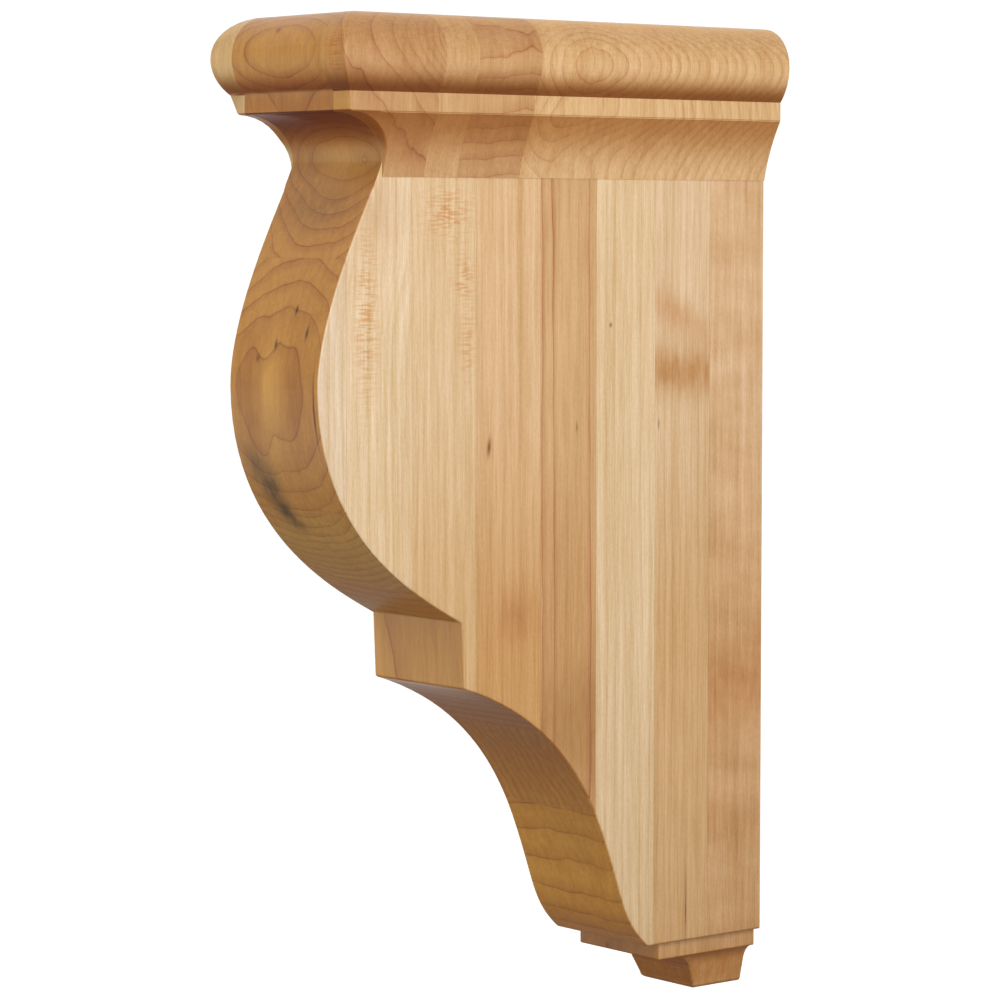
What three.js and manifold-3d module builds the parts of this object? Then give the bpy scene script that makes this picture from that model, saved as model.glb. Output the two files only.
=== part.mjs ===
// Carved maple bracket for a bar top. Eight upright staves are glued into one
// blank, and the blank is carved to one profile from the wall to the front. Two
// moulded strips are glued to its sides at the top, so the cap's mouldings run
// round the front and both sides.
// Millimetres. +Z is up, the wall is the plane y = 0 and the front faces -Y.
// The origin is the middle of the flat back, which is fixed to the wall.

import * as THREE from "three";
import { mergeVertices } from "three/addons/utils/BufferGeometryUtils.js";
import Module from "manifold-3d";

// The glued blank. The staves' thicknesses run from the front one back, and the one at the wall takes the rest.
const bodyWidth = 51.6;
const staveThicknesses = [12.1, 27.9, 28.4, 28.8, 25.7, 27.9, 26.3];
const glueLine = 0.3;

// Heights of the carved front, each one standing on the one before
const footTaperHeight = 7.7;
const footFlareHeight = 7;
const plateHeight = 6.7;
const kneeRise = 37.3;
const sweepRise = 63.6;
const stepHeight = 23.1;
const bellyRise = 82.8;
const neckRise = 77.5;
const coveRise = 16;
const filletHeight = 6.7;
const noseLowerRise = 12.8;
const noseUpperRise = 14.2;

// Depths of the carved front, from the wall out to the knee and from the neck to its neighbours
const footDepth = 24;
const frontTaper = 2.6;
const frontFlareReach = 9.4;
const plateReach = 11.3;
const toeReach = 8.3;
const kneeReach = 19.2;
const neckDepth = 176.2;
const bellyReach = 27.4;
const bellyReturn = 61.7;
const stepLean = 1;
const frontCoveReach = 20.4;
const frontNoseReach = 5.3;

// Directions and lengths of the tangents that shape the long curves, from the toe up
const toeAngle = 41;
const toeTangent = 15.5;
const kneeAngle = 69;
const kneeLowerTangent = 21.4;
const kneeUpperTangent = 17.4;
const sweepEndAngle = 17.5;
const sweepEndTangent = 49.6;
const bellyStartAngle = 27.5;
const bellyStartTangent = 23.3;
const bellyLowerTangent = 50.3;
const bellyUpperTangent = 29.5;
const neckTangent = 5.3;

// The strips' mouldings, out from the blank's sides
const stripDrop = 5.7;
const lipReach = 0.4;
const sideCoveReach = 8.5;
const sideCoveHollow = 1.05;
const sideNoseReach = 4.7;
const noseTopRadius = 14;

// The foot, in from the blank's sides, and the shape of its flare
const plateInset = 3.3;
const flareInset = 1.4;
const sideFlareReach = 4.7;
const sideTaper = 1.3;
const footEdgeRadius = 2;
const flareStartAngle = 78;
const flareEndAngle = 25;
const flareTangent = 3.4;

const longCurveSteps = 24;
const shortCurveSteps = 9;
const spare = 10; // cutting blocks run this far past what they cut

// Heights above the floor of the foot
const footHeight = footTaperHeight + footFlareHeight;
const plateTop = footHeight + plateHeight;
const kneeHeight = plateTop + kneeRise;
const stepFoot = kneeHeight + sweepRise;
const stepTop = stepFoot + stepHeight;
const bellyHeight = stepTop + bellyRise;
const neckHeight = bellyHeight + neckRise;
const stripFloor = neckHeight - stripDrop;
const filletFloor = neckHeight + coveRise;
const noseFloor = filletFloor + filletHeight;
const noseMiddle = noseFloor + noseLowerRise;
const wholeHeight = noseMiddle + noseUpperRise;

// Distances from the wall, and from the bracket's middle to its side
const flareDepth = footDepth + frontTaper + frontFlareReach;
const plateDepth = flareDepth + plateReach;
const toeDepth = plateDepth + toeReach;
const kneeDepth = toeDepth + kneeReach;
const bellyDepth = neckDepth + bellyReach;
const stepDepth = bellyDepth - bellyReturn;
const filletDepth = neckDepth + frontCoveReach;
const noseDepth = filletDepth + frontNoseReach;
const wholeDepth = Math.max(bellyDepth, noseDepth);
const halfBody = bodyWidth / 2;
const halfPlate = halfBody - plateInset;
const halfFlare = halfPlate - flareInset;
const halfFoot = halfFlare - sideFlareReach - sideTaper;
const halfFillet = halfBody + lipReach + sideCoveReach;
const halfNose = halfFillet + sideNoseReach;

const stripColor = 0xd6ae7c;
const staveColors = [0xe9d5b8, 0xdfbf92, 0xdcb98c, 0xd3aa7c, 0xc2926c, 0xe6cda6, 0xcfa57e, 0xcf9d63];
const maple = (name, color) => new THREE.MeshStandardMaterial({ name, color, roughness: 0.45, metalness: 0 });

const wasm = await Module();
wasm.setup();

/** Turns a closed three.js geometry into a solid that can be cut. */
function solidFrom(geometry) {
  geometry.deleteAttribute("normal");
  geometry.deleteAttribute("uv");
  const merged = mergeVertices(geometry);
  return new wasm.Manifold(
    new wasm.Mesh({
      numProp: 3,
      vertProperties: new Float32Array(merged.attributes.position.array),
      triVerts: new Uint32Array(merged.index.array),
    }),
  );
}

/** Turns a solid back into a named mesh. */
function meshFrom(name, solid, material) {
  const { vertProperties, triVerts } = solid.getMesh();
  const geometry = new THREE.BufferGeometry();
  geometry.setAttribute("position", new THREE.BufferAttribute(vertProperties, 3));
  geometry.setIndex(new THREE.BufferAttribute(triVerts, 1));
  geometry.computeVertexNormals();
  const mesh = new THREE.Mesh(geometry, material);
  mesh.name = name;
  return mesh;
}

/** A point of an outline, given across the page and above the floor of the foot. */
const at = (across, height) => new THREE.Vector2(across, height - wholeHeight / 2);

/** A smooth stretch that leaves and arrives along tangents, each given as a length and an angle in degrees. */
function sweep(start, leaving, end, arriving, steps = longCurveSteps) {
  const handle = (point, [length, degrees], direction) => {
    const angle = THREE.MathUtils.degToRad(degrees);
    const offset = new THREE.Vector2(Math.cos(angle), Math.sin(angle));
    return point.clone().addScaledVector(offset, direction * length);
  };
  const curve = new THREE.CubicBezierCurve(start, handle(start, leaving, 1), handle(end, arriving, -1), end);
  return curve.getPoints(steps);
}

/** Part of an ellipse about a centre, from one angle in degrees to another. */
function turn(centre, radiusAcross, radiusUp, fromDegrees, toDegrees) {
  const [from, to] = [fromDegrees, toDegrees].map(THREE.MathUtils.degToRad);
  const curve = new THREE.EllipseCurve(centre.x, centre.y, radiusAcross, radiusUp, from, to, to < from);
  return curve.getPoints(shortCurveSteps);
}

/** A shallow hollow between two points, cut to the left of the way from one to the other. */
function hollow(start, end, depth) {
  const way = new THREE.Vector2().subVectors(end, start);
  const left = new THREE.Vector2(-way.y, way.x).setLength(2 * depth);
  const middle = new THREE.Vector2().addVectors(start, end).multiplyScalar(0.5);
  return new THREE.QuadraticBezierCurve(start, middle.add(left), end).getPoints(shortCurveSteps);
}

/** Joins stretches into one outline, where each starts at the last one's end or at a corner of its own. */
const outline = (...stretches) =>
  stretches.flat().filter((point, index, points) => point.distanceTo(points.at(index - 1)) > 1e-4);

/** The foot, from its floor up to the body: a rounded edge, a tapered block, its flare and the square plate. */
function footStretch(floorAcross, taper, flareAcross, plateAcross) {
  const flareStart = at(floorAcross + taper, footTaperHeight);
  const flareEnd = at(flareAcross, footHeight);
  return [
    ...turn(at(floorAcross - footEdgeRadius, footEdgeRadius), footEdgeRadius, footEdgeRadius, -90, 0),
    ...sweep(flareStart, [flareTangent, flareStartAngle], flareEnd, [flareTangent, flareEndAngle], shortCurveSteps),
    at(plateAcross, footHeight),
    at(plateAcross, plateTop),
  ];
}

/** The cap's rounded nose, from the top of the fillet to the flat top. */
function noseStretch(filletAcross, noseAcross) {
  const overhang = noseAcross - filletAcross;
  const lowerRadius = (noseLowerRise ** 2 + overhang ** 2) / (2 * overhang);
  const lowerAngle = THREE.MathUtils.radToDeg(Math.asin(noseLowerRise / lowerRadius));
  return [
    ...turn(at(noseAcross - lowerRadius, noseMiddle), lowerRadius, lowerRadius, -lowerAngle, 0),
    ...turn(at(noseAcross - noseTopRadius, noseMiddle), noseTopRadius, noseUpperRise, 0, 90),
  ];
}

/** Side view of the whole bracket, with the wall on the left. */
function sideOutline() {
  const toe = at(toeDepth, plateTop);
  const knee = at(kneeDepth, kneeHeight);
  const sweepEnd = at(stepDepth - stepLean, stepFoot);
  const step = at(stepDepth, stepTop);
  const belly = at(bellyDepth, bellyHeight);
  const neck = at(neckDepth, neckHeight);
  return outline(
    [at(0, 0)],
    footStretch(footDepth, frontTaper, flareDepth, plateDepth),
    sweep(toe, [toeTangent, toeAngle], knee, [kneeLowerTangent, kneeAngle]),
    sweep(knee, [kneeUpperTangent, kneeAngle], sweepEnd, [sweepEndTangent, sweepEndAngle]),
    sweep(step, [bellyStartTangent, bellyStartAngle], belly, [bellyLowerTangent, 90]),
    sweep(belly, [bellyUpperTangent, 90], neck, [neckTangent, 90]),
    turn(at(filletDepth, neckHeight), frontCoveReach, coveRise, 180, 90),
    noseStretch(filletDepth, noseDepth),
    [at(0, wholeHeight)],
  );
}

/** Front view of the whole bracket, mirrored about its middle. */
function frontOutline() {
  const lip = at(halfBody + lipReach, stripFloor);
  const right = outline(
    footStretch(halfFoot, sideTaper, halfFlare, halfPlate),
    [at(halfBody, plateTop), at(halfBody, stripFloor)],
    hollow(lip, at(halfFillet, filletFloor), sideCoveHollow),
    noseStretch(halfFillet, halfNose),
  );
  const left = right.map(({ x, y }) => new THREE.Vector2(-x, y)).reverse();
  return [...right, ...left];
}

/** Stands an outline up with its across direction along `across`, and extrudes it at right angles to that. */
function extruded(points, across, start, length) {
  const geometry = new THREE.ExtrudeGeometry(new THREE.Shape(points), { depth: length, bevelEnabled: false });
  const up = new THREE.Vector3(0, 0, 1);
  const along = new THREE.Vector3().crossVectors(across, up);
  geometry.translate(0, 0, start);
  geometry.applyMatrix4(new THREE.Matrix4().makeBasis(across, up, along));
  return solidFrom(geometry);
}

/** The whole carved form: the side view drawn across the width, met by the front view drawn out from the wall. */
function carvedForm() {
  const reach = halfNose + spare;
  const side = extruded(sideOutline(), new THREE.Vector3(0, -1, 0), -reach, 2 * reach);
  const front = extruded(frontOutline(), new THREE.Vector3(1, 0, 0), -spare, wholeDepth + 2 * spare);
  return side.intersect(front);
}

/** A block between two limits across the width and two distances from the wall, taller than the bracket. */
function block(left, right, back, front) {
  const geometry = new THREE.BoxGeometry(right - left, front - back, wholeHeight + 2 * spare);
  geometry.translate((left + right) / 2, -(back + front) / 2, 0);
  return solidFrom(geometry);
}

/** The separate bodies of a cut solid, from the lowest up. */
const bodiesOf = (solid) => solid.decompose().sort((a, b) => a.boundingBox().min[2] - b.boundingBox().min[2]);

/** Distances of the glue lines from the wall, the nearest first. */
function glueLineDepths() {
  const depths = [];
  let depth = wholeDepth;
  for (const thickness of staveThicknesses) {
    depth -= thickness;
    depths.unshift(depth);
  }
  return depths;
}

/** Cuts the form into staves, counted from the wall. The neck parts the front stave into two pieces. */
function cutStaves(form) {
  const joints = glueLineDepths();
  const backs = [-spare, ...joints.map((joint) => joint + glueLine / 2)];
  const fronts = [...joints.map((joint) => joint - glueLine / 2), wholeDepth + spare];
  return backs.flatMap((back, index) => {
    const pieces = bodiesOf(form.intersect(block(-halfBody, halfBody, back, fronts[index])));
    const material = maple(`maple_stave_${index + 1}`, staveColors[index]);
    return pieces.map((piece, part) => {
      const ending = pieces.length > 1 ? ["_belly", "_cap"][part] : "";
      return meshFrom(`stave_${index + 1}${ending}`, piece, material);
    });
  });
}

/** Cuts the moulded strips that stand out past the blank's sides. */
function cutStrips(form) {
  const inside = halfBody + glueLine;
  const outside = halfNose + spare;
  const right = block(inside, outside, -spare, wholeDepth + spare);
  const left = block(-outside, -inside, -spare, wholeDepth + spare);
  const material = maple("maple_strip", stripColor);
  return [
    meshFrom("cap_strip_right", form.intersect(right), material),
    meshFrom("cap_strip_left", form.intersect(left), material),
  ];
}

const form = carvedForm();
const bracket = new THREE.Group();
bracket.add(...cutStaves(form), ...cutStrips(form));

export default bracket;
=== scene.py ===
import math
from functools import partial

import bmesh
import bpy
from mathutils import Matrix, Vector


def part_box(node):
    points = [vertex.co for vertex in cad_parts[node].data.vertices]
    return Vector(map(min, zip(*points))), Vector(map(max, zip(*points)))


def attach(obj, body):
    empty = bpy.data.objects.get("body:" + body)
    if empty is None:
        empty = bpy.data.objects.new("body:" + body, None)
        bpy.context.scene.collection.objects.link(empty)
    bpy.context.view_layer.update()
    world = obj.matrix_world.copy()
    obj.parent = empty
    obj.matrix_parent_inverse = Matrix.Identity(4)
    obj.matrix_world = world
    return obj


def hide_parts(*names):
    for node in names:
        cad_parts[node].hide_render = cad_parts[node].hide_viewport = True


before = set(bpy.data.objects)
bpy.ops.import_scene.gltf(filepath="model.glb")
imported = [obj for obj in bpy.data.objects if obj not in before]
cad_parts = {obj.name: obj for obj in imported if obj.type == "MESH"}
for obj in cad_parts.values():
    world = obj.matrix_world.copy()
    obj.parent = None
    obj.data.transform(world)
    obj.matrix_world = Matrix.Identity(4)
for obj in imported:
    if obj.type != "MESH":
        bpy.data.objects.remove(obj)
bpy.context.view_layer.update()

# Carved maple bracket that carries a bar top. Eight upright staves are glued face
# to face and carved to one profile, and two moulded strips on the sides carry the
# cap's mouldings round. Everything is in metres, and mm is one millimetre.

mm = 0.001

# The glued blank: seven staves of clear-finished hard maple, about 27 mm thick,
# and a thin one in front, which the carved neck cuts in two. The outer edges are
# eased with sandpaper, and the joints are planed tight, so only a hairline shows.

last_stave = 8
body_half = 25.8 * mm
strip_floor = 122.3 * mm
joint_closing = 0.13 * mm
edge_ease = 0.75 * mm
ease_steps = 3
ease_fade_reach = 8 * mm
least_corner = math.radians(28)
smooth_corner = math.radians(32)
same_place = 0.01 * mm
same_point = 0.002 * mm
same_face = math.radians(0.2)


def wood_copy(node_name, piece_name):
    """A copy of a solid whose loose triangles are joined into whole faces."""
    bpy.ops.object.select_all(action="DESELECT")
    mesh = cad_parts[node_name].data.copy()
    mesh.name = piece_name
    mesh.materials.clear()
    piece = bpy.data.objects.new(piece_name, mesh)
    bpy.context.collection.objects.link(piece)
    piece.select_set(True)
    bpy.context.view_layer.objects.active = piece
    bpy.ops.object.mode_set(mode="EDIT")
    bpy.ops.mesh.select_all(action="SELECT")
    bpy.ops.mesh.remove_doubles(threshold=same_point)
    bpy.ops.mesh.dissolve_limited(angle_limit=same_face)
    bpy.ops.mesh.select_all(action="DESELECT")
    return piece


def lies_at(edge, axis, place):
    """True if both ends of an edge lie at one place along an axis."""
    return all(abs(vert.co[axis] - place) < same_place for vert in edge.verts)


def left_sharp(edge, flat_places):
    """True for an edge of a flat joint face, and for an edge of the side that a strip covers."""
    on_side = lies_at(edge, 0, math.copysign(body_half, edge.verts[0].co.x))
    under_strip = on_side and max(vert.co.z for vert in edge.verts) > strip_floor
    return under_strip or any(lies_at(edge, 1, place) for place in flat_places)


def fades_out(vert):
    """True for a point of the side just below a strip, where the easing runs out."""
    on_side = abs(abs(vert.co.x) - body_half) < same_place
    return on_side and strip_floor - ease_fade_reach < vert.co.z < strip_floor


def ease_corners(piece, flat_places):
    """Rounds the outer corners with sandpaper. Just below the strips the rounding's last ring of points runs
    out into the sharp corner, and the points where it does are given back."""
    bpy.ops.mesh.select_mode(type="EDGE")
    bpy.ops.mesh.select_all(action="DESELECT")
    shape = bmesh.from_edit_mesh(piece.data)
    shape.normal_update()
    for edge in shape.edges:
        outer = len(edge.link_faces) == 2 and edge.is_convex
        edge.select = outer and edge.calc_face_angle() > least_corner and not left_sharp(edge, flat_places)
    ends = [vert.co.copy() for vert in shape.verts
            if fades_out(vert) and sum(edge.select for edge in vert.link_edges) == 1]
    shape.select_flush_mode()
    bmesh.update_edit_mesh(piece.data)
    bpy.ops.mesh.bevel(offset=edge_ease, segments=ease_steps, profile=0.5, clamp_overlap=False)
    shape = bmesh.from_edit_mesh(piece.data)
    for end in ends:
        for vert in sorted(shape.verts, key=lambda vert: (vert.co - end).length)[:ease_steps + 1]:
            vert.co = end
    bmesh.update_edit_mesh(piece.data)
    bpy.ops.mesh.select_all(action="SELECT")
    bpy.ops.mesh.remove_doubles(threshold=same_point)
    return ends


def close_joint(piece, place, closing):
    """Lengthens the edges that end at a flat joint, each along its own line, so that the joint closes."""
    shape = bmesh.from_edit_mesh(piece.data)
    at_joint = [vert for vert in shape.verts if abs(vert.co.y - place) < same_place]
    moves = {}
    for vert in at_joint:
        moves[vert] = Vector((0, closing, 0))
        ways = [vert.co - edge.other_vert(vert).co for edge in vert.link_edges]
        ways = [way.normalized() for way in ways if abs(way.y) > same_place]
        if ways:
            straightest = max(ways, key=lambda way: abs(way.y))
            lift = closing * straightest.z / straightest.y
            moves[vert].z = math.copysign(min(abs(lift), 2 * joint_closing), lift)
    for vert, move in moves.items():
        vert.co += move
    bmesh.update_edit_mesh(piece.data)


def finish_wood(piece, node_name, flat_places=(), ends=()):
    """Smooths the curves, keeps the flat faces flat, and puts the piece in its solid's place. The edges at
    the flat joints and at the ends of the easing stay sharp, so that light runs evenly over the curves."""
    bpy.ops.object.mode_set(mode="OBJECT")
    bpy.ops.object.shade_smooth_by_angle(angle=smooth_corner)
    points = piece.data.vertices
    for edge in piece.data.edges:
        first, last = [points[index].co for index in edge.vertices]
        for place in flat_places:
            if max(abs(first.y - place), abs(last.y - place)) < 2 * joint_closing:
                edge.use_edge_sharp = True
        for end in ends:
            at_end = min((first - end).length, (last - end).length) < same_place
            if at_end and abs(first.x - last.x) < same_place:
                edge.use_edge_sharp = True
    flat_faces = piece.modifiers.new("flat_faces", "WEIGHTED_NORMAL")
    flat_faces.keep_sharp = True
    bpy.ops.object.modifier_apply(modifier=flat_faces.name)
    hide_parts(node_name)
    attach(piece, "root")


def srgb(red, green, blue):
    """A colour given as it shows on a screen, from 0 to 255, in the shader's linear numbers."""
    return tuple(((value / 255 + 0.055) / 1.055) ** 2.4 for value in (red, green, blue)) + (1,)


def add_node(tree, kind, inputs=None, **settings):
    """Adds a node, sets it up and joins it to the sockets that it is given."""
    made = tree.nodes.new(kind)
    for setting, value in settings.items():
        setattr(made, setting, value)
    for socket, value in (inputs or {}).items():
        if isinstance(value, bpy.types.NodeSocket):
            tree.links.new(value, made.inputs[socket])
        else:
            made.inputs[socket].default_value = value
    return made


def arithmetic(tree, operation, first, second=0.0):
    """One step of arithmetic with sockets or numbers."""
    return add_node(tree, "ShaderNodeMath", {0: first, 1: second}, operation=operation).outputs[0]


def plus(tree, first, second):
    """The sum of two sockets or numbers."""
    return arithmetic(tree, "ADD", first, second)


def times(tree, first, second):
    """The product of two sockets or numbers."""
    return arithmetic(tree, "MULTIPLY", first, second)


def dot_product(tree, first, second):
    """The dot product of two vectors."""
    inputs = {0: first, 1: second}
    return add_node(tree, "ShaderNodeVectorMath", inputs, operation="DOT_PRODUCT").outputs["Value"]


def scaled(tree, lengths, centre=(0, 0, 0), turn=(0, 0, 0)):
    """Object coordinates about a centre, measured in the given lengths. All are in millimetres."""
    coordinates = add_node(tree, "ShaderNodeTexCoord").outputs["Object"]
    inputs = {"Vector": coordinates, "Location": [value * mm for value in centre]}
    inputs["Scale"] = [value * mm for value in lengths]
    inputs["Rotation"] = [math.radians(value) for value in turn]
    return add_node(tree, "ShaderNodeMapping", inputs, vector_type="TEXTURE").outputs[0]


def along(tree, axis):
    """A point's place along one axis, in millimetres."""
    return add_node(tree, "ShaderNodeSeparateXYZ", {0: scaled(tree, (1, 1, 1))}).outputs[axis]


def figure(tree, lengths, detail=2.0, turn=(0, 0, 0), roughness=0.5):
    """A soft random pattern around 0, whose grains have the given lengths in millimetres."""
    place = scaled(tree, lengths, turn=turn)
    inputs = {"Vector": place, "Scale": 1.0, "Detail": detail, "Roughness": roughness}
    pattern = add_node(tree, "ShaderNodeTexNoise", inputs)
    return arithmetic(tree, "SUBTRACT", pattern.outputs["Fac"], 0.5)


# A length in millimetres that is far beyond the bracket
endless = 1e4


def swell(tree, centre, reach, turn=(0, 0, 0)):
    """A soft round hill, 1 at its centre. A reach of None runs through the whole wood."""
    place = scaled(tree, [length or endless for length in reach], centre, turn)
    return arithmetic(tree, "EXPONENT", times(tree, dot_product(tree, place, place), -1.0))


def ramp(tree, factor, stops):
    """A curve through (position, value) pairs, as grey levels."""
    made = add_node(tree, "ShaderNodeValToRGB", {0: factor})
    steps = made.color_ramp.elements
    while len(steps) < len(stops):
        steps.new(0.5)
    for step, (position, value) in zip(steps, stops):
        step.position = position
        step.color = (value, value, value, 1)
    return made.outputs["Color"]


def mixed(tree, color, share, other, way="MIX"):
    """A first colour that turns into a second one by a share."""
    inputs = {0: share, 6: color, 7: other}
    return add_node(tree, "ShaderNodeMix", inputs, data_type="RGBA", blend_type=way).outputs[2]


def stained_and_shaded(tree, color, amount, shade):
    """A colour under a see-through tint of some strength, used for stains and for painted shade and light. A
    shade above 1 makes the wood paler.
    """
    return mixed(tree, color, amount, shade, "MULTIPLY")


def spread(tree, value, low, high, start=0.0, end=1.0):
    """A soft step from one number to another while a value passes from low to high."""
    limits = {0: value, 1: low, 2: high, 3: start, 4: end}
    return add_node(tree, "ShaderNodeMapRange", limits, interpolation_type="SMOOTHSTEP").outputs[0]


def bars(tree, centre, reach):
    """Short bars across the grain, where the wood's rays show, inside one soft patch."""
    pattern = plus(tree, figure(tree, (7, 5, 0.65), 1), 0.5)
    return times(tree, ramp(tree, pattern, [(0.46, 0), (0.6, 1)]), swell(tree, centre, reach))


def flat_rings(tree, across=(0, 1, 0), bow=None):
    """Growth rings that lie nearly flat across one direction. A bow bends them to both sides of a middle
    line. Its numbers are the middle line's x low down and high up, the bend low down and high up, and those
    two levels."""
    depth = dot_product(tree, scaled(tree, (1, 1, 1)), across)
    if bow:
        low_middle, high_middle, low_bend, high_bend, low, high = bow
        height = along(tree, "Z")
        middle = spread(tree, height, low, high, low_middle, high_middle)
        off = arithmetic(tree, "SUBTRACT", along(tree, "X"), middle)
        bend = spread(tree, height, low, high, low_bend, high_bend)
        depth = plus(tree, depth, times(tree, times(tree, off, off), bend))
    return depth


def round_rings(tree, pith):
    """Growth rings round an upright pith at a place (x, y) in plan."""
    place = scaled(tree, (1, 1, endless), (*pith, 0))
    return add_node(tree, "ShaderNodeVectorMath", {0: place}, operation="LENGTH").outputs["Value"]


wander_lengths = (34, 60, 90)
ripple_lengths = (9, 30, 22)
sway_lengths = (40, 8, 240)


def ring_count(tree, rings, gap, start, hills, wander, ripple, sway):
    """How many growth rings lie behind a point. Hills bend them, and three soft patterns make them waver."""
    depth = rings(tree)
    for centre, reach, lift in hills:
        depth = plus(tree, depth, times(tree, swell(tree, centre, reach), lift))
    for lengths, amount in ((wander_lengths, wander), (ripple_lengths, ripple), (sway_lengths, sway)):
        depth = plus(tree, depth, times(tree, figure(tree, lengths, 1), amount))
    return plus(tree, arithmetic(tree, "DIVIDE", depth, gap), start)


def by_board(tree, limits, values):
    """A number that changes in steps from the wall to the front, at the given distances from the wall."""
    depth = along(tree, "Y")
    total = values[0]
    for limit, before, after in zip(limits, values, values[1:]):
        beyond = arithmetic(tree, "LESS_THAN", depth, -limit)
        total = plus(tree, times(tree, beyond, after - before), total)
    return total


ring_curve = [
    (0, 0.3), (0.06, 0.05), (0.5, 0.0), (0.88, 0.3), (0.955, 0.5), (0.97, 1.0), (0.985, 1.0), (1, 0.3),
]
front_line_color = srgb(198, 160, 122)
side_line_color = srgb(205, 144, 84)
end_grain_color = srgb(226, 208, 186)
# Painted shade on faces that look down
painted_underside_shade = srgb(244, 226, 196)
# Painted shade, darker and warmer towards the foot
painted_low_shade = srgb(238, 217, 172)
fleck_color = srgb(240, 204, 158)

# How far a face is turned where it begins and ends to count as side, lower face or underside
facing_side = (0.35, 0.85)
facing_lower = (-0.1, -0.8)
facing_down = (-0.05, -0.6)

# Levels in millimetres between which the painted shade towards the foot and the duller finish under the cap
# set in
painted_low_shade_levels = (60, -60)
under_cap_levels = (124, 138)

# Patterns of light and dark: lengths in millimetres, lean in degrees, and strength where all boards share it.
# Red varies least with them and blue most, so darker wood is warmer.
streaks = ((2.2, 2.2, 90), 0, 0.42)
clouds = ((40, 14, 120), 0, 0.26)
specks = ((0.8, 0.6, 1.6), 20)
cross_bands = ((60, 34, 15), -10)
pore_lengths = (0.5, 0.5, 16)
pore_strength = 0.55
ring_tone_strength = 0.2
light_in_color = (0.65, 1.0, 1.8)

satin_roughness = 0.4
under_cap_roughness = 0.45
pore_roughness = 0.6
line_relief = 0.1
relief_strength = 0.25
relief_depth = 0.12 * mm
coat_weight = 0.3
coat_roughness = 0.2


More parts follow.
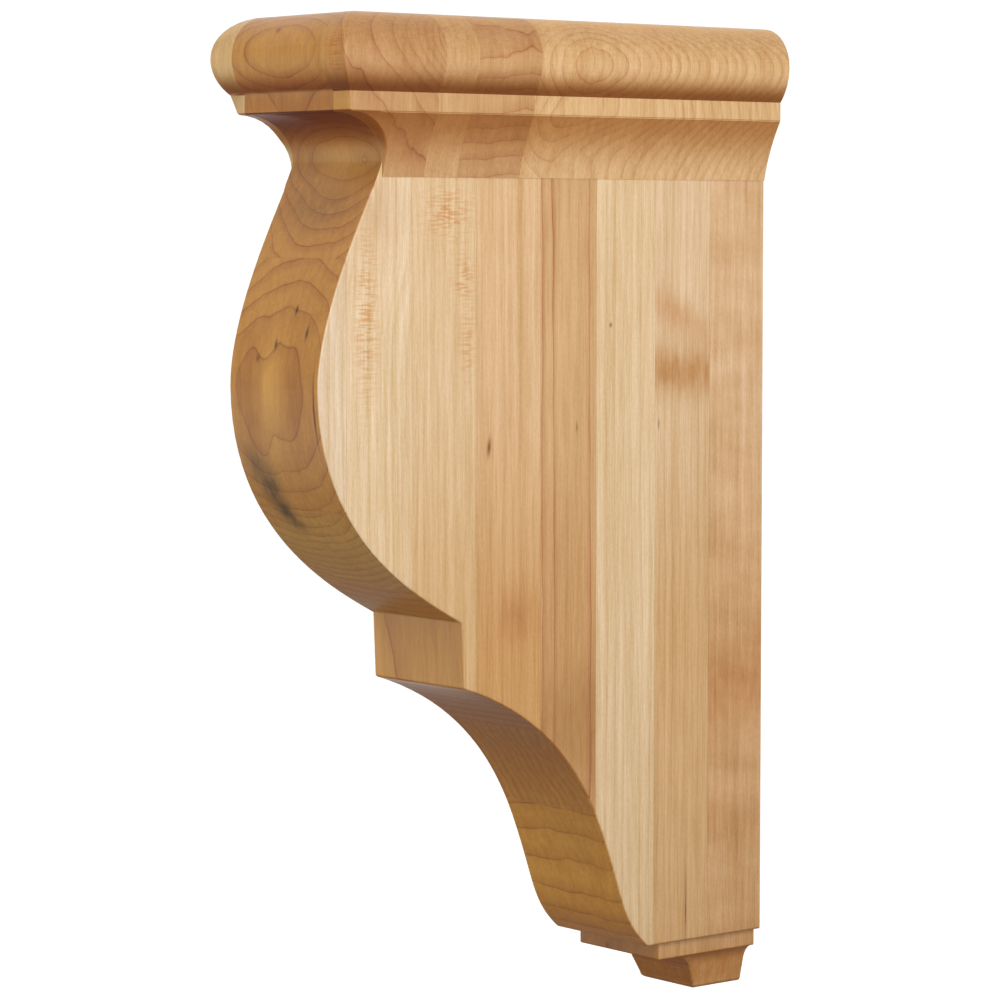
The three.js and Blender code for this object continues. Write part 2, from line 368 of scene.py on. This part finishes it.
def maple(name, side, front, rings=flat_rings, gap=3.2, start=0.2, hills=(), wander=2.4, ripple=1.0,
          sway=2.0, side_lines=0.3, front_lines=0.9, boards=None, painted_shade_and_reflection=(), foot=0.4, marks=(), flecks=(),
          glows=(), bands=0.0, mealy=0.22):
    """Clear-finished maple. The growth rings are counted in depth and bent by hills, so each carved surface
    cuts its own figure out of them. Painted shade and painted reflections lie on lower faces round some
    levels, marks are knots, stains, darker places and painted shadows, flecks are patches of the wood's rays,
    and glows are where it is paler, one of them a painted highlight."""
    material = bpy.data.materials.new(name)
    material.use_nodes = True
    tree = material.node_tree
    shader = tree.nodes["Principled BSDF"]
    count = ring_count(tree, rings, gap, start, hills, wander, ripple, sway)
    lines = ramp(tree, arithmetic(tree, "FRACT", count), ring_curve)

    # The colour of the board and of its growth lines, on the front and on the side
    normal = add_node(tree, "ShaderNodeNewGeometry").outputs["Normal"]
    facing = add_node(tree, "ShaderNodeSeparateXYZ", {0: normal}).outputs
    on_side = spread(tree, arithmetic(tree, "ABSOLUTE", facing["X"]), *facing_side)
    color = mixed(tree, srgb(*front), on_side, srgb(*side))
    line_strength = spread(tree, on_side, 0, 1, front_lines, side_lines)
    if boards:
        color = stained_and_shaded(tree, color, by_board(tree, boards["limits"], boards["tones"]), boards["brown"])
        line_strength = times(tree, line_strength, by_board(tree, boards["limits"], boards["lines"]))
    faded = plus(tree, times(tree, figure(tree, (20, 20, 45)), 1.6), 0.75)
    line_strength = times(tree, line_strength, faded)
    line_color = mixed(tree, front_line_color, on_side, side_line_color)
    color = stained_and_shaded(tree, color, times(tree, lines, line_strength), line_color)

    # End grain is darker. Painted shade lies on lower faces and towards the foot, and painted reflections on
    # some lower faces
    level_share = times(tree, arithmetic(tree, "ABSOLUTE", facing["Z"]), 0.5)
    color = stained_and_shaded(tree, color, level_share, end_grain_color)
    # Painted shade on faces that look down
    color = stained_and_shaded(tree, color, spread(tree, facing["Z"], *facing_lower), painted_underside_shade)
    downward = spread(tree, facing["Z"], *facing_down)
    # Painted shade, and painted reflections where a shade is above 255, on faces that look down round some
    # levels
    for level, reach, strength, shade in painted_shade_and_reflection:
        amount = times(tree, swell(tree, (0, 0, level), (None, None, reach)), strength)
        color = stained_and_shaded(tree, color, times(tree, amount, downward), srgb(*shade))
    # Painted shade on the sides, darker and warmer towards the foot
    low_down = times(tree, spread(tree, along(tree, "Z"), *painted_low_shade_levels), foot)
    color = stained_and_shaded(tree, color, times(tree, low_down, on_side), painted_low_shade)

    # Knots, stains, ray flecks and painted shadows
    ragged = plus(tree, times(tree, figure(tree, (2.5, 2.5, 9), 3), 1.6), 1.0)
    for centre, reach, strength, shade, *turn in marks:
        amount = times(tree, swell(tree, centre, reach, *turn), strength)
        color = stained_and_shaded(tree, color, times(tree, amount, ragged), srgb(*shade))
    for centre, reach, strength in flecks:
        color = stained_and_shaded(tree, color, times(tree, bars(tree, centre, reach), strength), fleck_color)

    # Light and dark from ring to ring, in pores, streaks, specks, clouds and glows, one glow a painted
    # highlight
    inputs = {"W": count, "Scale": 0.9, "Detail": 2}
    ring_tone = add_node(tree, "ShaderNodeTexNoise", inputs, noise_dimensions="1D")
    ring_tone = arithmetic(tree, "SUBTRACT", ring_tone.outputs["Fac"], 0.5)
    pores = times(tree, figure(tree, pore_lengths, 3, roughness=0.6), pore_strength)
    light = plus(tree, pores, times(tree, ring_tone, ring_tone_strength))
    patterns = [streaks, (*specks, mealy), clouds]
    if bands:
        patterns.append((*cross_bands, bands))
    for lengths, lean, amount in patterns:
        light = plus(tree, light, times(tree, figure(tree, lengths, turn=(lean, 0, 0)), amount))
    for centre, reach, strength in glows:
        light = plus(tree, light, times(tree, swell(tree, centre, reach), strength))
    inputs = {0: light, 1: light_in_color, 2: (1, 1, 1)}
    bright = add_node(tree, "ShaderNodeVectorMath", inputs, operation="MULTIPLY_ADD").outputs[0]
    color = add_node(tree, "ShaderNodeVectorMath", {0: color, 1: bright}, operation="MULTIPLY").outputs[0]
    tree.links.new(color, shader.inputs["Base Color"])

    # A satin finish, duller under the cap, with the pores and growth lines faintly sunk in it
    under_cap = times(tree, downward, spread(tree, along(tree, "Z"), *under_cap_levels))
    roughness = plus(tree, times(tree, under_cap, under_cap_roughness), satin_roughness)
    roughness = plus(tree, times(tree, pores, pore_roughness), roughness)
    tree.links.new(roughness, shader.inputs["Roughness"])
    relief = arithmetic(tree, "SUBTRACT", pores, times(tree, lines, line_relief))
    inputs = {"Height": relief, "Strength": relief_strength, "Distance": relief_depth}
    bump = add_node(tree, "ShaderNodeBump", inputs)
    tree.links.new(bump.outputs[0], shader.inputs["Normal"])
    shader.inputs["Coat Weight"].default_value = coat_weight
    shader.inputs["Coat Roughness"].default_value = coat_roughness
    return material


# Each stave's own wood and its painted shade and light, from the wall to the front. The carved front cuts the
# rings into eyes at belly and neck. Places and reaches are in millimetres, and the flat right side is at x =
# right.
right = body_half / mm
knot = (120, 84, 52)
grey_stain = (150, 158, 136)
belly_stain = [
    ((-17, -200, 24), (5, None, 6), 0.6, grey_stain),
    ((-12, -196, 15), (5.5, None, 8), 0.9, grey_stain),
    ((-10, -190, 6.5), (3.6, None, 4.2), 0.95, grey_stain),
    ((-6.5, -187, 2.5), (3, None, 2), 0.6, grey_stain),
]
# Painted shade, darker and warmer at the foot's end
foot_end = ((0, -20, -170), (None, None, 12), 0.9, (240, 218, 176))
# Painted shade on the cap's lower faces, in the hollow under the fillet and under the nose
cap_painted_shade = ((143, 8, 1.0, (178, 130, 66)), (152, 5, 0.9, (226, 200, 156)))
stave_woods = {
    "stave_1": dict(
        side=(204, 169, 128), front=(193, 142, 70), gap=5.5, side_lines=0.15, bands=0.6, mealy=0.28,
        marks=[foot_end,
               ((right, -13, -64), (None, 40, 18), 0.7, (238, 212, 176), (8, 0, 0)),
               ((right, -13, -112), (None, 40, 9), 0.4, (236, 208, 172), (-8, 0, 0))]),
    "stave_2": dict(
        side=(209, 180, 142), front=(193, 142, 70), gap=3.3, start=0.4, side_lines=0.4, bands=0.12, foot=0.6,
        marks=[((right, -41, 73), (None, 18, 6), 0.9, (240, 220, 200), (-27, 0, 0)),
               ((right, -39, 53), (None, 40, 8.5), 1.0, (226, 199, 160), (-4, 0, 0)),
               ((right, -51, 34.2), (None, 0.5, 1.8), 0.5, knot),
               ((right, -37.1, -143), (None, 0.35, 13), 0.9, (170, 118, 80)),
               foot_end]),
    "stave_3": dict(
        side=(212, 185, 146), front=(217, 164, 76), gap=4.2, start=0.1, side_lines=0.35, foot=0.0,
        marks=[((right, -73.9, 70.4), (None, 0.6, 0.8), 0.8, knot), foot_end]),
    "stave_4": dict(
        side=(200, 162, 116), front=(208, 158, 80), rings=partial(round_rings, pith=(38, -92)), gap=4.0,
        start=0.3, sway=6.0, side_lines=1.1, foot=0.5,
        marks=[((right, -93, -72), (None, 30, 20), 1.0, (234, 226, 206)),
               ((right, -89.7, 34.4), (None, 0.5, 1.8), 0.5, knot)]),
    "stave_5": dict(
        side=(209, 175, 134), front=(188, 137, 81), gap=4.5, start=0.5, side_lines=0.15, foot=0.9,
        marks=[((right, -129.8, 28.6), (None, 0.85, 3.2), 1, (172, 112, 62), (-8, 0, 0)),
               ((right, -118, -31), (None, 9, 10), 0.5, (224, 190, 140))]),
    "stave_6": dict(
        side=(210, 181, 142), front=(210, 157, 82), gap=4.5, start=0.85, wander=1.5, sway=0.8,
        rings=partial(flat_rings, bow=(10, 10, 0.004, 0.004, 0, 1)), side_lines=0.12, foot=0.6,
        # Painted reflection that turns the lower faces under the belly greyer
        painted_shade_and_reflection=((-28, 9, 1.0, (238, 248, 253)),),
        flecks=[((right, -148, 110), (None, 9, 9), 0.8),
                ((right, -141, 87), (None, 4.5, 7), 0.8),
                ((right, -139, 65), (None, 3.5, 12), 0.6)]),
    "stave_7": dict(
        side=(215, 190, 155), front=(198, 144, 64), gap=2.6, start=0.0, ripple=1.2, side_lines=0.14,
        rings=partial(flat_rings, bow=(-2, 5, 0.0064, -0.0076, 62, 112)),
        hills=[((5, -176.2, 128.4), (14, None, 8), -1.5),
               ((16.2, -176.2, 128.4), (2.8, None, 2.8), 1.2)],
        flecks=[((right, -183, 74), (None, 4.5, 26), 0.8)],
        # Painted shade under the cap, and a painted reflection that makes the belly's lower faces paler and
        # bluer
        painted_shade_and_reflection=(*cap_painted_shade, (-6, 18, 1.0, (272, 308, 372))),
        marks=[*belly_stain,
               # Painted shadow of the cap just below the neck
               ((-2, -181, 112), (20, None, 8), 0.9, (222, 226, 230)),
               ((right, -178, 112), (None, 12, 16), 0.5, (240, 222, 205))],
        glows=[((4, -176, 130), (14, None, 9), 0.4)]),
    "stave_8_belly": dict(
        side=(213, 190, 159), front=(198, 144, 64), gap=3.2, start=0.78, ripple=1.4, side_lines=0.2,
        rings=partial(flat_rings, bow=(-2, 3, 0.0064, 0.0064, 50, 85)),
        # Painted reflection that makes the belly's lower faces paler and bluer near the joint
        painted_shade_and_reflection=((10, 12, 1.0, (264, 276, 290)),),
        hills=[((-5.5, -203, 66), (5, None, 7), 1.6),
               ((-11, -200, 27), (7, None, 8), -1.4)],
        marks=[*belly_stain,
               ((7, -198, 77.1), (0.7, None, 1.4), 1, knot),
               ((15.9, -200, 69.5), (0.7, None, 2.0), 1, knot),
               ((-0.6, -201, 65.1), (0.8, None, 1.8), 0.9, knot),
               ((-10, -202, 60.4), (1.0, None, 1.4), 0.6, knot),
               ((23.3, -202, 43), (0.5, None, 12), 0.9, (150, 96, 60)),
               ((-15, -202, 48), (7, None, 18), 0.9, (226, 206, 184)),
               ((12, -202, 48), (7, None, 16), 0.8, (226, 206, 184))],
        # Painted highlight down the middle of the belly
        glows=[((-3, -203, 46), (5, None, 24), 0.26)]),
    "stave_8_cap": dict(
        side=(213, 190, 159), front=(198, 144, 64), gap=3.2, start=0.13, wander=1.2,
        rings=partial(flat_rings, across=(0, 1, -0.155), bow=(1.6, 1.6, 0.0076, 0.0076, 0, 1)),
        painted_shade_and_reflection=cap_painted_shade,
        marks=[((-2, -197, 172), (1.2, None, 0.9), 0.8, (190, 140, 115)),
               # Painted shade on the fillet under the nose
               ((0, -196, 147), (None, None, 4.5), 1, (234, 214, 166))]),
}
for node_name, wood in stave_woods.items():
    number = int(node_name.split("_")[1])
    front_corner, wall_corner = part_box(node_name)
    flat_places = (front_corner.y, wall_corner.y)
    stave = wood_copy(node_name, f"{node_name}_wood")
    ends = ease_corners(stave, flat_places)
    if number > 1:
        close_joint(stave, wall_corner.y, joint_closing)
    if number < last_stave:
        close_joint(stave, front_corner.y, -joint_closing)
    finish_wood(stave, node_name, flat_places, ends)
    stave.data.materials.append(maple(f"maple_{node_name}", **wood))

# The moulded strips: hard maple, glued to the blank's sides at the top, with a
# shallow hollow, a square fillet and a full rounded nose. They run from the wall
# to the front and carry the front's mouldings round to the sides.

strip_inside = 25.84 * mm
lip_half = 26.2 * mm
fillet_half = 34.7 * mm
nose_half = 39.4 * mm
neck_depth = 176.2 * mm
fillet_depth = 196.6 * mm
nose_depth = 201.9 * mm
neck_level = 128 * mm
fillet_level = 144 * mm
nose_level = 150.7 * mm
nose_middle = 163.5 * mm
cap_level = 177.7 * mm
cove_reach = fillet_depth - neck_depth
hollow = 1.05 * mm
nose_top_reach = 14 * mm
curve_steps = 9
nose_steps = 10


def nose_reach(outermost, overhang, level):
    """How far the rounded nose stands out: a long arc below its middle and a quarter turn above it."""
    if level < nose_middle:
        lower_rise = nose_middle - nose_level
        radius = (lower_rise**2 + overhang**2) / (2 * overhang)
        return outermost - radius + math.sqrt(radius**2 - (nose_middle - level) ** 2)
    rise = min((level - nose_middle) / (cap_level - nose_middle), 1)
    return outermost - nose_top_reach * (1 - math.sqrt(1 - rise**2))


def strip_corner(level):
    """Half width and depth of the cap at a level."""
    if level >= nose_level:
        half = nose_reach(nose_half, nose_half - fillet_half, level)
        return half, nose_reach(nose_depth, nose_depth - fillet_depth, level)
    if level >= fillet_level:
        return fillet_half, fillet_depth
    share = (level - strip_floor) / (fillet_level - strip_floor)
    half = lip_half + share * (fillet_half - lip_half) - 4 * hollow * share * (1 - share)
    rise = max(level - neck_level, 0) / (fillet_level - neck_level)
    return half, neck_depth + cove_reach * (1 - math.sqrt(1 - rise**2))


def steps_between(low, high, count, crowded=False):
    """Levels from one height to another. They crowd towards the top where a quarter turn flattens out."""
    shares = [step / count for step in range(count + 1)]
    if crowded:
        shares = [math.sin(share * math.pi / 2) for share in shares]
    return [low + (high - low) * share for share in shares]


# Each row is (level, half width, depth). The fillet's lower edge is eased, more in front than at the sides.
side_share = 0.25
lip_levels = [strip_floor, (strip_floor + neck_level) / 2]
cove_levels = steps_between(neck_level, fillet_level, curve_steps, crowded=True)[:-1]
nose_levels = steps_between(nose_level, nose_middle, nose_steps)
nose_levels += steps_between(nose_middle, cap_level, curve_steps, crowded=True)[1:]
strip_rows = [(level, *strip_corner(level)) for level in lip_levels + cove_levels]
for turn in (0, 30, 60, 90):
    inset = edge_ease * (1 - math.sin(math.radians(turn)))
    level = fillet_level + edge_ease * (1 - math.cos(math.radians(turn)))
    strip_rows.append((level, fillet_half - side_share * inset, fillet_depth - inset))
strip_rows += [(level, *strip_corner(level)) for level in nose_levels]


def strip_rings(tree):
    """The growth rings of the four boards that make up a strip, each with its own figure. The one at the
    wall is folded round a pith, and the one at the front has rings that crowd together behind."""
    x, y, z = along(tree, "X"), along(tree, "Y"), along(tree, "Z")
    off = plus(tree, y, 93)
    off = plus(tree, off, times(tree, swell(tree, (30, -100, 133), (None, 30, 12)), 14))
    fold = arithmetic(tree, "SQRT", plus(tree, times(tree, off, off), 200))
    steep = dot_product(tree, scaled(tree, (1, 1, 1)), (1.82, 1, 0.755))
    steep = arithmetic(tree, "SUBTRACT", steep, 30.5)
    crowding = arithmetic(tree, "EXPONENT", arithmetic(tree, "DIVIDE", steep, 18))
    parts = (
        (x, (-2.3, -1, -1, 0)),
        (y, (0, 0.05, 0, 0)),
        (z, (0.2, -0.44, 0, 0)),
        (fold, (1, 0, 0, 0)),
        (crowding, (0, 0, 0, 24)),
        (1, (2.2, 3.35, 0, 1.77)),
    )
    depth = 0.0
    for part, shares in parts:
        depth = plus(tree, depth, times(tree, by_board(tree, strip_boards["limits"], shares), part))
    return depth


strip_boards = dict(limits=(116.6, 144.5, 158.7), tones=(0.0, 0.75, 0.5, 0.9), lines=(0.7, 0.8, 0.15, 0.8),
                    brown=srgb(228, 212, 194))
strip_wood = dict(side=(208, 173, 126), rings=strip_rings, gap=4.4, side_lines=0.9, wander=2.0, ripple=1.2,
                  sway=2.5, foot=0, boards=strip_boards,
                  # Painted shade in the strips' hollow and under their nose
                  painted_shade_and_reflection=((140, 11, 1.0, (220, 196, 154)), (152, 5.5, 1.0, (192, 163, 110))))
strip_maple = {
    1: maple("maple_strip_right", front=(222, 175, 94), start=0.0,
             flecks=[((34, -200, 165), (4, None, 8), 0.8)], **strip_wood),
    -1: maple("maple_strip_left", front=(243, 217, 160), start=0.6, front_lines=0.3, **strip_wood),
}
corner_wear = {1: 0.9 * mm, -1: 2.0 * mm}
wear_length = 12 * mm
wear_above = 5.5 * mm
wear_below = 8 * mm
wear_falloff = 1.4


def worn_share(level):
    """How much of the wear at the fillet's lower front corner is left at a level."""
    reach = wear_above if level > fillet_level else wear_below
    return max(1 - abs(level - fillet_level) / reach, 0) ** wear_falloff


# One outline with a rounded outer front corner is drawn at the origin and extruded through all the rows.
# Each point remembers its place in it, in easings: 1 is the outer or front face, -1 the line where the wear
# ends, and -3 the inside or the wall. Each row then takes its own width and depth from that.
for node_name, side in {"cap_strip_right": 1, "cap_strip_left": -1}.items():
    bpy.ops.object.select_all(action="DESELECT")
    bpy.ops.mesh.primitive_plane_add(size=4 * edge_ease, location=(0, 0, 0))
    strip = bpy.context.object
    strip.name = f"{node_name}_wood"
    bpy.ops.object.mode_set(mode="EDIT")
    bpy.ops.mesh.select_mode(type="VERT")
    shape = bmesh.from_edit_mesh(strip.data)
    for vert in shape.verts:
        vert.select = vert.co.x * side > 0 and vert.co.y < 0
    shape.select_flush_mode()
    bmesh.update_edit_mesh(strip.data)
    bpy.ops.mesh.bevel(offset=edge_ease, segments=ease_steps, affect="VERTICES")
    bpy.ops.mesh.select_all(action="SELECT")
    bpy.ops.mesh.bisect(plane_co=(0, 0, 0), plane_no=(0, 1, 0))
    shape = bmesh.from_edit_mesh(strip.data)
    corner = shape.verts.layers.float_vector.new("corner")
    for vert in shape.verts:
        vert[corner] = (vert.co.x * side / edge_ease - 1, -vert.co.y / edge_ease - 1, 0)
    bmesh.update_edit_mesh(strip.data)
    bpy.ops.mesh.select_all(action="SELECT")
    for row, (level, half, depth) in enumerate(strip_rows):
        if row:
            bpy.ops.mesh.extrude_region_move()
        shape = bmesh.from_edit_mesh(strip.data)
        corner = shape.verts.layers.float_vector["corner"]
        ease = min(edge_ease, 0.6 * (half - strip_inside))
        for vert in [vert for vert in shape.verts if vert.select]:
            out, ahead, _ = vert[corner]
            outer, in_front = out > -0.5, ahead > -0.5
            wear = corner_wear[side] * worn_share(level) if outer and in_front else 0
            across = half - ease * (1 - out) - wear if outer else strip_inside
            if in_front:
                forward = depth - ease * (1 - ahead) - wear
            else:
                forward = depth - wear_length if ahead > -2 else 0
            vert.co = (side * across, -forward, level)
        bmesh.update_edit_mesh(strip.data)
    bpy.ops.mesh.select_all(action="SELECT")
    bpy.ops.mesh.normals_make_consistent(inside=False)
    finish_wood(strip, node_name)
    strip.data.materials.append(strip_maple[side])

# The room: a plain pale floor with a painted shadow under the bracket, and soft light
# from a large box on the right, a wider one in front and the pale room itself

floor_level = -0.6
floor_size = 40
floor_glow = 0.45
floor_roughness = 0.9
pale_grey = (0.95, 0.95, 0.95, 1)
floor_shadow_grey = (0.25, 0.24, 0.23, 1)
dark_place, dark_reach, darkest_from = (-100, 0, 0), 1900, 0.6
back_direction = (-0.75, 0.6, 0)
room_front, room_back = 0.5, 1.05

bpy.ops.object.select_all(action="DESELECT")
bpy.ops.mesh.primitive_plane_add(size=floor_size, location=(0, 0, floor_level))
floor = bpy.context.object
floor.name = "floor"
floor_paint = bpy.data.materials.new("floor_paint")
floor_paint.use_nodes = True
floor_tree = floor_paint.node_tree
floor_shader = floor_tree.nodes["Principled BSDF"]
# A painted shadow: the floor turns dark grey under the bracket, so less light comes up from below
floor_place = scaled(floor_tree, [dark_reach] * 3, dark_place)
painted_floor_shadow = add_node(floor_tree, "ShaderNodeTexGradient", {0: floor_place}, gradient_type="SPHERICAL")
near = spread(floor_tree, painted_floor_shadow.outputs["Fac"], 0, darkest_from)
floor_color = mixed(floor_tree, pale_grey, near, floor_shadow_grey)
floor_tree.links.new(floor_color, floor_shader.inputs["Base Color"])
floor_tree.links.new(floor_color, floor_shader.inputs["Emission Color"])
floor_shader.inputs["Emission Strength"].default_value = floor_glow
floor_shader.inputs["Roughness"].default_value = floor_roughness
floor.data.materials.append(floor_paint)

world = bpy.data.worlds.new("pale_room")
world.use_nodes = True
room = world.node_tree
direction = add_node(room, "ShaderNodeTexCoord").outputs["Generated"]
towards_back = dot_product(room, direction, back_direction)
room_light = spread(room, towards_back, -0.1, 0.8, room_front, room_back)
room.links.new(room_light, room.nodes["Background"].inputs["Strength"])
room.nodes["Background"].inputs["Color"].default_value = (1, 1, 1, 1)
bpy.context.scene.world = world


def soft_light(name, place, aim, size, power):
    """A square soft light that faces a point of the bracket."""
    light = bpy.data.lights.new(name, "AREA")
    light.size = size
    light.energy = power
    holder = bpy.data.objects.new(name, light)
    bpy.context.collection.objects.link(holder)
    holder.location = place
    holder.rotation_euler = (Vector(aim) - Vector(place)).to_track_quat("-Z", "Y").to_euler()


soft_light("right_light", place=(0.8, -0.2, 0.24), aim=(0, -0.1, 0.05), size=0.5, power=4.1)
soft_light("front_light", place=(-0.4, -1.2, 1.4), aim=(0, -0.1, 0), size=0.8, power=8.4)

bpy.context.scene.view_settings.view_transform = "Standard"
bpy.context.scene.view_settings.gamma = 0.85

# The camera looks at the near side and the front through a long lens, a little down
camera_place = (1.0391, -0.9437, 0.1048)
camera_dip = math.radians(4.158)
camera_turn = math.radians(51.057)
camera = bpy.data.cameras.new("camera")
camera.sensor_width = 36
camera.lens = 134.48
camera.clip_start = 0.05
camera_holder = bpy.data.objects.new("camera", camera)
bpy.context.collection.objects.link(camera_holder)
camera_holder.location = camera_place
camera_holder.rotation_euler = (math.pi / 2 - camera_dip, 0, camera_turn)
bpy.context.scene.camera = camera_holder
